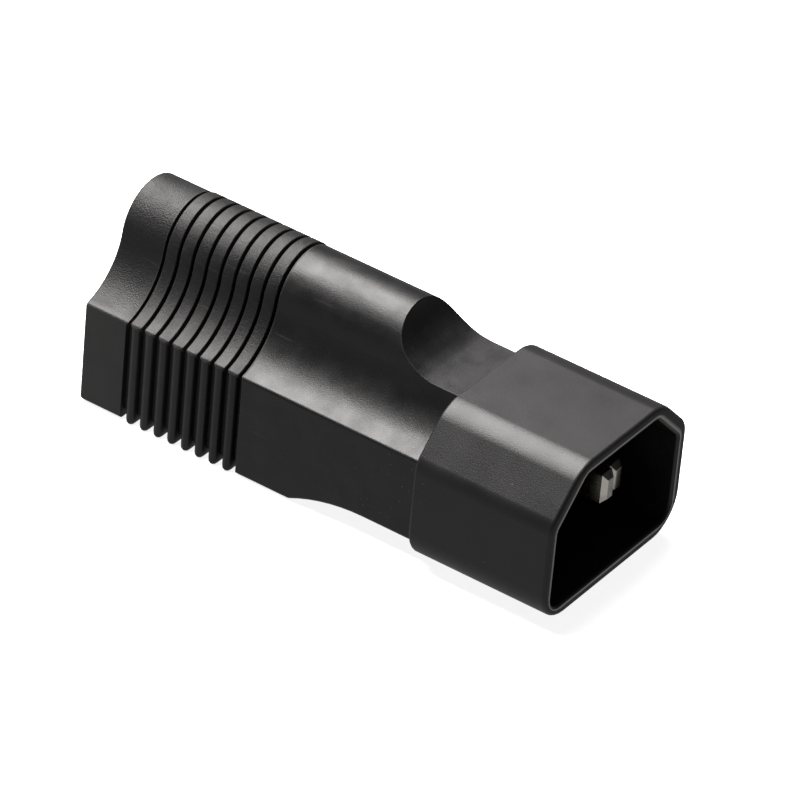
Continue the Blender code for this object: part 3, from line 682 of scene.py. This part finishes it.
# Painted highlight: a pale line round the mouth of the cavity, standing in for light caught on its
# inner edge.
mouth = add(tree, "Attribute", {}, out=2, attribute_name="rubs_and_painted_highlight")
mouth = add(tree, "MapRange", {"Value": mouth, "From Min": 0.55, "From Max": 0.85})
tone = add(tree, "Mix", {0: mouth, 6: tone, 7: linear("#d0ccc5")}, out=2, data_type="RGBA")
rough = add(tree, "MapRange", {"Value": cloud, "From Min": 0.3, "To Min": 0.4, "To Max": 0.52})
bump = add(tree, "Bump", {"Strength": 0.5, "Distance": 0.035 * MM, "Height": grain})
bump = add(
    tree,
    "Bump",
    {"Strength": 0.5, "Distance": 0.08 * MM, "Height": waver, "Normal": bump},
)
drive(tree, {"Base Color": tone, "Roughness": rough, "Normal": bump})
finished(bm, "inlet_jacket", "inlet_shroud", nylon)


# Inner mould.
# Natural polyethylene cast round the crimped wires, so that the outer body goes on over
# one firm block.

# Natural PE: milky and waxy, with light going a little way into it, and soft flow marks.
natural_pe, tree, spot = start_material(
    "cast_natural_polyethylene",
    {"IOR": 1.51, "Subsurface Weight": 0.4, "Subsurface Scale": 0.5 * MM},
)
flow = add(tree, "Mapping", {"Vector": spot, "Scale": (0.4, 1.0, 1.0)})
cloud = add(tree, "TexNoise", {"Vector": flow, "Scale": scale_of(2.5), "Detail": 3.0})
tone = add(
    tree,
    "Mix",
    {0: cloud, 6: linear("#d9d7cd"), 7: linear("#c3c0b2")},
    out=2,
    data_type="RGBA",
)
rough = add(tree, "MapRange", {"Value": cloud, "To Min": 0.35, "To Max": 0.55})
bump = add(tree, "Bump", {"Strength": 0.4, "Distance": 0.03 * MM, "Height": cloud})
drive(tree, {"Base Color": tone, "Roughness": rough, "Normal": bump})
dress("inner_mould", natural_pe)


# Outer body.
# Soft black PVC moulded over the wired receptacle and the collar of the inlet. It holds both
# by shrinking round them. Nine grooves from the mould make the finger grip.

body_low, body_high = place("overmould_body")
NECK_END = SHROUD_BACK - 0.02
HALF_WIDTH = body_high.y
CROWN = body_high.z
SHOULDER = 13.7  # height of the straight sides
DOME_RADIUS = 5.7
FLANK_RADIUS = 8.4
SHOULDER_EASE = 0.35
BASE_EASE = 0.5
FACE_EASE = 0.35
SPLIT = 0.01  # allowance when a place is compared with where an edge should lie
NECK_TOP = 19.9
NECK_BOTTOM = 2.4
SCOOP_RADIUS = 7.2
SCOOP_END = 11.55  # where the thumb scoop runs out into the flat neck
UNDER_RADIUS = 24.0
UNDER_END = 7.15  # where the finger scoop underneath runs out
GROOVES = 9
PITCH = 2.0
FIRST_GROOVE = BACK + 6.4
GROOVE_DEPTH = 0.8
TOP_GROOVE_HALF = 0.19  # half width of a groove's floor across the dome and the flanks
SIDE_GROOVE_HALF = 0.36  # and down the sides and under the base
RIB_RISE = 0.12  # how far the ribs stand proud of the dome and the flanks
RIB_FOOT = 0.2  # and of the sides and the base


def section_of_body(bm):
    """The body's bell outline at its back end: flat base, sides, hollow flanks and dome."""
    dome = Vector((BACK, 0.0, CROWN - DOME_RADIUS))
    shoulder = Vector((BACK, HALF_WIDTH, SHOULDER))
    # The flank's arc starts at the shoulder and meets the dome smoothly.
    span = (shoulder - dome).length
    reach = DOME_RADIUS + FLANK_RADIUS
    turn = math.acos((reach**2 + span**2 - FLANK_RADIUS**2) / (2 * reach * span))
    fall = math.atan2(shoulder.z - dome.z, shoulder.y - dome.y)
    touch = fall + turn
    flank = dome + Vector((0.0, math.cos(touch), math.sin(touch))) * reach
    end = math.atan2(shoulder.z - flank.z, shoulder.y - flank.y)
    flank_turn = math.remainder(end - (touch + math.pi), 2 * math.pi)
    rounds = [(dome, touch - math.pi / 2, 16), (flank, flank_turn, 14)]
    last = bm.verts.new((BACK, 0.0, CROWN))
    for centre, angle, steps in rounds:
        spun = bmesh.ops.spin(
            bm, geom=[last], cent=centre, axis=(1.0, 0.0, 0.0), angle=angle, steps=steps
        )
        last = spun["geom_last"][0]
    for corner in ((BACK, HALF_WIDTH, 0.0), (BACK, 0.0, 0.0)):
        last = bmesh.ops.extrude_vert_indiv(bm, verts=[last])["verts"][0]
        last.co = corner
    bmesh.ops.mirror(
        bm, geom=bm.verts[:] + bm.edges[:], matrix=Matrix(), merge_dist=NEAR, axis="Y"
    )
    bmesh.ops.contextual_create(bm, geom=bm.edges[:])


def ease_points(bm, points, offset):
    """Round the corners of a flat outline."""
    bmesh.ops.bevel(
        bm,
        geom=points,
        offset=offset,
        segments=4,
        profile=0.5,
        affect="VERTICES",
        material=-1,
    )


def lengthen(bm, faces, keep=False):
    """Extrude the front of a body and return its new faces and points."""
    made = bmesh.ops.extrude_face_region(bm, geom=faces)["geom"]
    if not keep:
        bmesh.ops.delete(bm, geom=faces, context="FACES")
    points = [g for g in made if isinstance(g, bmesh.types.BMVert)]
    return [g for g in made if isinstance(g, bmesh.types.BMFace)], points


bm = bmesh.new()
section_of_body(bm)
shoulders = [v for v in bm.verts if abs(v.co.z - SHOULDER) < NEAR]
feet = [v for v in bm.verts if v.co.z < NEAR and abs(v.co.y) > 1.0]
ease_points(bm, shoulders, SHOULDER_EASE)
ease_points(bm, feet, BASE_EASE)

# Rows across the outline, where the face of the scoop will bend: one at each point of the
# dome and, where those lie far apart, one for each step round the scoop.
SCOOP_STEPS = 14
SCOOP_STEP = 5.5  # degrees
ROWS_APART = 0.08
heights = sorted({round(v.co.z, 3) for v in bm.verts if v.co.z > NECK_TOP + 0.1})
for step in range(SCOOP_STEPS):
    height = NECK_TOP + SCOOP_RADIUS * (1 - math.cos(math.radians(SCOOP_STEP * step)))
    if min(abs(height - known) for known in heights) > ROWS_APART:
        heights.append(height)
for height in heights:
    if height < CROWN - NEAR:
        bmesh.ops.bisect_plane(
            bm,
            geom=bm.verts[:] + bm.edges[:] + bm.faces[:],
            dist=NEAR,
            plane_co=(BACK, 0.0, height),
            plane_no=(0.0, 0.0, 1.0),
        )

# Each point keeps the way outwards and its place in the section, so that rings can be let in
# or stand proud. Both layers are fetched after the second is made, which moves the first.
kept = bm.verts.layers.float_vector
kept.new("outwards")
kept.new("section")
outwards, section = kept["outwards"], kept["section"]
front, ring = lengthen(bm, bm.faces[:], keep=True)
bmesh.ops.translate(bm, vec=(1.0, 0.0, 0.0), verts=ring)
bmesh.ops.recalc_face_normals(bm, faces=bm.faces)
bm.normal_update()
for v in bm.verts:
    v[outwards] = Vector((0.0, v.normal.y, v.normal.z)).normalized()
for v in bm.verts:
    y, z = abs(v.co.y), v.co.z
    if z < BASE_EASE + SPLIT and y > HALF_WIDTH - BASE_EASE - SPLIT:
        v[outwards] = (0.0, math.copysign(1.0, v.co.y), -1.0)
    if y > HALF_WIDTH - SHOULDER_EASE - SPLIT and SHOULDER - 0.4 < z < SHOULDER + 0.2:
        v[outwards] = (0.0, math.copysign(1.0, v.co.y), 0.8)
for v in bm.verts:
    if v not in ring:
        v.co -= v[outwards] * FACE_EASE


def side_share(height):
    """1 on the straight sides and the base, 0 on the flanks and the dome."""
    return min(1.0, max(0.0, (SHOULDER - height) / SHOULDER_EASE))


for v in ring:
    v[section] = v.co
for step in range(1, 4):
    angle = math.radians(30 * step)
    if step > 1:
        front, ring = lengthen(bm, front)
    for v in ring:
        v.co = v[section] - v[outwards] * FACE_EASE * (1 - math.sin(angle))
        v.co.x = BACK + FACE_EASE * (1 - math.cos(angle))

# From the top of a rib down to the floor of a groove: distance from the groove's middle and
# depth, first across the dome and the flanks and then down the sides and under the base.
lip = [
    (0.33, -RIB_RISE, 0.90, -RIB_FOOT),
    (0.27, -RIB_RISE + 0.02, 0.66, -RIB_FOOT + 0.07),
    (0.225, -RIB_RISE + 0.07, 0.49, -RIB_FOOT + 0.24),
    (0.20, 0.15, 0.395, 0.35),
    (TOP_GROOVE_HALF, GROOVE_DEPTH, SIDE_GROOVE_HALF, GROOVE_DEPTH),
]
for index in range(GROOVES):
    middle = FIRST_GROOVE + index * PITCH
    for way, points in ((-1, lip), (1, lip[::-1])):
        # No rib stands proud before the first groove or past the last.
        plain = (index == 0 and way < 0) or (index == GROOVES - 1 and way > 0)
        for top_place, top_depth, side_place, side_depth in points:
            if plain:
                side_place = SIDE_GROOVE_HALF + (top_place - TOP_GROOVE_HALF)
                top_depth = side_depth = max(0.0, top_depth)
            front, ring = lengthen(bm, front)
            for v in ring:
                share = side_share(v[section].z)
                along = top_place + (side_place - top_place) * share
                depth = top_depth + (side_depth - top_depth) * share
                v.co = v[section] - v[outwards] * depth
                v.co.x = middle + way * along


def scoop_place(height):
    """Where along the body the thumb scoop is at this height."""
    over = min(SCOOP_RADIUS, max(0.0, height - NECK_TOP))
    return SCOOP_END - math.sqrt(SCOOP_RADIUS**2 - (SCOOP_RADIUS - over) ** 2)


def under_rise(x):
    """How high the finger scoop has lifted the base."""
    away = max(0.0, UNDER_END - x)
    return max(0.0, NECK_BOTTOM - UNDER_RADIUS + math.sqrt(UNDER_RADIUS**2 - away**2))


# The plain length, each ring leaning so that the last one lies on the scoop. Two rings close
# together hold the edge where the finger scoop begins.
last_groove = FIRST_GROOVE + (GROOVES - 1) * PITCH
start = last_groove + PITCH / 2
kink = UNDER_END - math.sqrt(UNDER_RADIUS**2 - (UNDER_RADIUS - NECK_BOTTOM) ** 2)
stations = [start, -7.0, kink - 0.12, kink + 0.12, -2.0, -0.5, 1.0, 2.5, 4.0, 5.5, 7.0, 9.0]
for x in stations + [SCOOP_END]:
    share = (x - start) / (SCOOP_END - start)
    front, ring = lengthen(bm, front)
    for v in ring:
        v.co = v[section]
        v.co.x = start + (scoop_place(v[section].z) - start) * share
        if v[section].z < 1.0:
            v.co.z += under_rise(v.co.x)
scooped = [f for f in front if f.calc_center_median().z > NECK_TOP]
front = [f for f in front if f not in scooped]
front, ring = lengthen(bm, front)
for v in ring:
    v.co.x = NECK_END
bmesh.ops.remove_doubles(bm, verts=bm.verts, dist=NEAR / 10)
bmesh.ops.recalc_face_normals(bm, faces=bm.faces)

# The edge round the thumb scoop is slightly rounded.
CREASE_EASE = 0.14
CREASE_START = 3.0
CREASE_ANGLE = 25.0  # degrees; the walls bend less than this anywhere else there
crease = [
    e
    for e in bm.edges
    if e.is_manifold
    and min(v.co.x for v in e.verts) > CREASE_START
    and min(v.co.z for v in e.verts) > NECK_TOP - SPLIT
    and e.calc_face_angle() > math.radians(CREASE_ANGLE)
    and e.calc_length() > NEAR
    and not all(abs(v.co.x - NECK_END) < NEAR for v in e.verts)
]
bmesh.ops.bevel(
    bm,
    geom=crease,
    offset=CREASE_EASE,
    segments=2,
    profile=0.5,
    affect="EDGES",
    clamp_overlap=True,
    material=-1,
)

# The hollows that the pieces inside it leave, one stretch behind another.
MOULD_STEP = -0.37  # where the tall rib of the inner mould ends
MOULD_SHOULDER = 11.8
MOULD_STEM = 2.6
MOULD_CORNER = 1.0
MOULD_COVER = 1.1  # ground wire to the top of the hollow in front of the step
THROUGH = 1.0  # how far a hollow runs on past an open end
INTO_NEXT = 0.5  # and back into the hollow behind it
mould_low, mould_high = place("inner_mould")


def mould_outline(top):
    """Outline of the inner mould with its rib up to this height."""
    return mirrored(
        [
            (mould_high.y, mould_low.z, MOULD_CORNER),
            (mould_high.y, MOULD_SHOULDER, MOULD_CORNER),
            (MOULD_STEM, MOULD_SHOULDER, 0.0),
            (MOULD_STEM, top, MOULD_CORNER),
        ]
    )


def scratch_object(bm, name):
    """A passing object, only there to be cut or to cut."""
    bmesh.ops.recalc_face_normals(bm, faces=bm.faces)
    mesh = bpy.data.meshes.new(name)
    bm.to_mesh(mesh)
    bm.free()
    made = bpy.data.objects.new(name, mesh)
    bpy.context.scene.collection.objects.link(made)
    return made


ground_span = [end.x for end in place("ground_wire_insulation")]
step_wire = wire_middle("ground", MOULD_STEP - 1.0, ground_span)
step_top = step_wire.z + JACKET_RADIUS + MOULD_COVER
hollows = [
    (BACK - THROUGH, insert_outline, mould_low.x),
    (mould_low.x - INTO_NEXT, mould_outline(mould_high.z), MOULD_STEP),
    (MOULD_STEP - INTO_NEXT, mould_outline(step_top), mould_high.x + INTO_NEXT / 2),
    (mould_high.x + SEAM, flange_outline, NECK_END + THROUGH),
]
solid = scratch_object(bm, "solid")
cores = []
for back, outline, front in hollows:
    core = bmesh.new()
    for end in loft(core, [(back, grown(outline, SEAM)), (front, grown(outline, SEAM))]):
        fill(core, end)
    cores.append(scratch_object(core, "core"))
    cut = solid.modifiers.new("cut", "BOOLEAN")
    cut.operation = "DIFFERENCE"
    cut.solver = "EXACT"
    cut.object = cores[-1]
bm = bmesh.new()
bm.from_mesh(solid.evaluated_get(bpy.context.evaluated_depsgraph_get()).to_mesh())
for passing in [solid] + cores:
    bpy.data.objects.remove(passing)

# Moulded soft PVC: a dull black skin, a shade browner or greyer from place to place, with
# shallow waves where it shrank over the pieces inside, a fine grain that is roughest on the
# ribs, pale dust caught in the skin by the inlet and a few light rubs along the shoulder.
# Below the shoulder the skin is painted lighter towards the back end, as painted light.
# The grain of about 0.1 mm is drawn 0.17 mm wide.
pvc, tree, spot = start_material("overmoulded_soft_pvc", {"IOR": 1.52})
along = add(tree, "SeparateXYZ", {0: spot})
up = along.node.outputs[2]
ribs_end = (last_groove + 0.4) * MM
on_ribs = add(tree, "Math", {0: along, 1: ribs_end}, operation="LESS_THAN")
crown = add(
    tree,
    "MapRange",
    {"Value": up, "From Min": (SHOULDER - 0.2) * MM, "From Max": (SHOULDER + 0.3) * MM},
)
gripped = add(tree, "Math", {0: on_ribs, 1: crown}, operation="MULTIPLY")
cloud = add(tree, "TexNoise", {"Vector": spot, "Scale": scale_of(6.0), "Detail": 5.0})
blotch = add(tree, "TexNoise", {"Vector": spot, "Scale": scale_of(2.6), "Detail": 4.0})
grain = add(tree, "TexNoise", {"Vector": spot, "Scale": scale_of(0.17), "Detail": 3.0})
waver = add(tree, "TexNoise", {"Vector": spot, "Scale": scale_of(4.5), "Detail": 2.0})
tone = add(
    tree,
    "Mix",
    {0: cloud, 6: linear("#111112"), 7: linear("#1c1b1b")},
    out=2,
    data_type="RGBA",
)
# Painted light: below the shoulder the skin gets lighter towards the back end, where more light
# falls on it.
side = add(tree, "Math", {0: 1.0, 1: crown}, operation="SUBTRACT")
toward_back = add(
    tree,
    "MapRange",
    {"Value": along, "From Min": ribs_end, "From Max": BACK * MM},
)
painted_back_light = add(tree, "Math", {0: toward_back, 1: side}, operation="MULTIPLY")
tone = add(tree, "Mix", {0: painted_back_light, 6: tone, 7: linear("#3b3a39")}, out=2, data_type="RGBA")
dots = add(tree, "TexVoronoi", {"Vector": spot, "Scale": scale_of(0.9)})
speck = add(tree, "MapRange", {"Value": dots, "From Min": 0.14, "From Max": 0.05})
by_inlet = add(
    tree,
    "MapRange",
    {"Value": along, "From Min": 2.0 * MM, "From Max": 14.0 * MM, "To Min": 0.05},
)
low_enough = add(
    tree,
    "MapRange",
    {"Value": up, "From Min": 17.0 * MM, "From Max": 14.5 * MM},
)
dusty = add(tree, "Math", {0: by_inlet, 1: low_enough}, operation="MULTIPLY")
speck = add(tree, "Math", {0: speck, 1: dusty}, operation="MULTIPLY")
speck = add(tree, "Math", {0: speck, 1: blotch}, operation="MULTIPLY")
tone = add(tree, "Mix", {0: speck, 6: tone, 7: linear("#8e8a84")}, out=2, data_type="RGBA")
slant = add(
    tree,
    "Mapping",
    {"Vector": spot, "Rotation": (0.0, 0.4, 0.0), "Scale": (0.08, 1.0, 1.0)},
)
strokes = add(tree, "TexNoise", {"Vector": slant, "Scale": scale_of(0.5), "Detail": 2.0})
rub = add(tree, "MapRange", {"Value": strokes, "From Min": 0.66, "From Max": 0.76})
rub = add(tree, "Math", {0: rub, 1: cloud}, operation="MULTIPLY")
tone = add(tree, "Mix", {0: rub, 6: tone, 7: linear("#3a3938")}, out=2, data_type="RGBA")
soft = add(tree, "Bevel", {"Radius": 0.35 * MM}, samples=6)
flat = add(tree, "NewGeometry", {}, out=1)
edge = add(tree, "VectorMath", {0: soft, 1: flat}, out=1, operation="DOT_PRODUCT")
edge = add(tree, "MapRange", {"Value": edge, "From Min": 0.99, "From Max": 0.85})
worn = add(tree, "Math", {0: edge, 1: blotch}, operation="MULTIPLY")
tone = add(tree, "Mix", {0: worn, 6: tone, 7: linear("#434241")}, out=2, data_type="RGBA")
rough = add(
    tree,
    "MapRange",
    {"Value": blotch, "From Min": 0.3, "From Max": 0.7, "To Min": 0.35, "To Max": 0.48},
)
rough_ribs = add(tree, "Math", {0: gripped, 1: 0.1}, operation="MULTIPLY")
rough = add(tree, "Math", {0: rough, 1: rough_ribs})
deep = add(tree, "MapRange", {"Value": gripped, "To Min": 0.25, "To Max": 1.0})
bump = add(tree, "Bump", {"Strength": deep, "Distance": 0.07 * MM, "Height": grain})
bump = add(
    tree,
    "Bump",
    {"Strength": 0.5, "Distance": 0.12 * MM, "Height": waver, "Normal": bump},
)
drive(tree, {"Base Color": tone, "Roughness": rough, "Normal": bump})
finished(bm, "overmould_skin", "overmould_body", pvc, sharp=32)


# Studio.
# A flat sheet of white paper below and one soft lamp above, over the back of the adapter, in
# a dim room. The lengths here are in metres.

PAPER_HALF = 1.5
KEY_WAY = Vector((-0.44, 0.1, 0.89)).normalized()  # from the adapter to the lamp
LAMP_AWAY = 0.5
LAMP_SIDE = 0.42
LAMP_POWER = 7.1
LAMP_TINT = (1.0, 0.976, 0.962)
PAPER_LIGHT = 0.42
WALL_LIGHT = 0.05
DARK_WAY = (0.53, 0.8, 0.0)  # towards the dark corner

# Matt white paper, evenly lit until it is almost pure white; its fibres hardly show.
paper, tree, spot = start_material("white_paper", {"Roughness": 0.9, "Emission Strength": 0.93})
fibre = add(tree, "TexNoise", {"Vector": spot, "Scale": scale_of(1.5), "Detail": 4.0})
tone = add(
    tree,
    "Mix",
    {0: fibre, 6: linear("#fbfbfb"), 7: linear("#f6f6f6")},
    out=2,
    data_type="RGBA",
)
drive(tree, {"Base Color": tone, "Emission Color": tone})
bm = bmesh.new()
bmesh.ops.create_grid(bm, x_segments=1, y_segments=1, size=PAPER_HALF)
mesh = bpy.data.meshes.new("floor")
bmesh.ops.translate(bm, vec=(0.0, 0.0, cad_box[0].z - RIB_FOOT * MM), verts=bm.verts)
bm.to_mesh(mesh)
bm.free()
mesh.materials.append(paper)
floor = bpy.data.objects.new("floor", mesh)
bpy.context.scene.collection.objects.link(floor)
floor.visible_glossy = False
floor.visible_diffuse = False

lamp = bpy.data.objects.new("key_lamp", bpy.data.lights.new("key_lamp", "AREA"))
lamp.data.size = LAMP_SIDE
lamp.data.energy = LAMP_POWER
lamp.data.color = LAMP_TINT
lamp.location = KEY_WAY * LAMP_AWAY
lamp.rotation_euler = KEY_WAY.to_track_quat("Z", "Y").to_euler()
bpy.context.scene.collection.objects.link(lamp)

# The room: light comes back from the paper below, the walls are dim and the corner that
# the inlet faces is nearly dark.
world = bpy.data.worlds.new("room")
world.use_nodes = True
tree = world.node_tree
way = add(tree, "TexCoord", {}, out=0)
height = add(tree, "VectorMath", {0: way, 1: (0.0, 0.0, 1.0)}, out=1, operation="DOT_PRODUCT")
light = add(
    tree,
    "MapRange",
    {
        "Value": height,
        "From Min": -0.35,
        "From Max": 0.2,
        "To Min": PAPER_LIGHT,
        "To Max": WALL_LIGHT,
    },
)
facing = add(tree, "VectorMath", {0: way, 1: DARK_WAY}, out=1, operation="DOT_PRODUCT")
shade = add(
    tree,
    "MapRange",
    {"Value": facing, "From Min": 0.25, "From Max": 0.8, "To Min": 1.0, "To Max": 0.45},
)
light = add(tree, "Math", {0: light, 1: shade}, operation="MULTIPLY")
tree.links.new(light, tree.nodes["Background"].inputs["Strength"])
tree.nodes["Background"].inputs["Color"].default_value = (1.0, 1.0, 1.0, 1.0)
bpy.context.scene.world = world

# The camera looks from in front of the inlet, to its right and above, slightly rolled.
AZIMUTH, ELEVATION, ROLL = (math.radians(angle) for angle in (32.2396, 35.1281, 5.3812))
AIM = Vector((6.294, -4.860, 14.899)) * MM
DISTANCE = 0.851471
LENS = 333.93741
SENSOR = 36.0
turn = Matrix.Rotation(AZIMUTH, 4, "Z") @ Matrix.Rotation(math.pi / 2 - ELEVATION, 4, "X")
turn = turn @ Matrix.Rotation(ROLL, 4, "Z")
camera = bpy.data.objects.new("camera", bpy.data.cameras.new("camera"))
camera.matrix_world = Matrix.Translation(AIM) @ turn @ Matrix.Translation((0.0, 0.0, DISTANCE))
camera.data.sensor_width = SENSOR
camera.data.lens = LENS
camera.data.clip_start = 0.01
bpy.context.scene.collection.objects.link(camera)
bpy.context.scene.camera = camera
bpy.context.scene.view_settings.view_transform = "Standard"
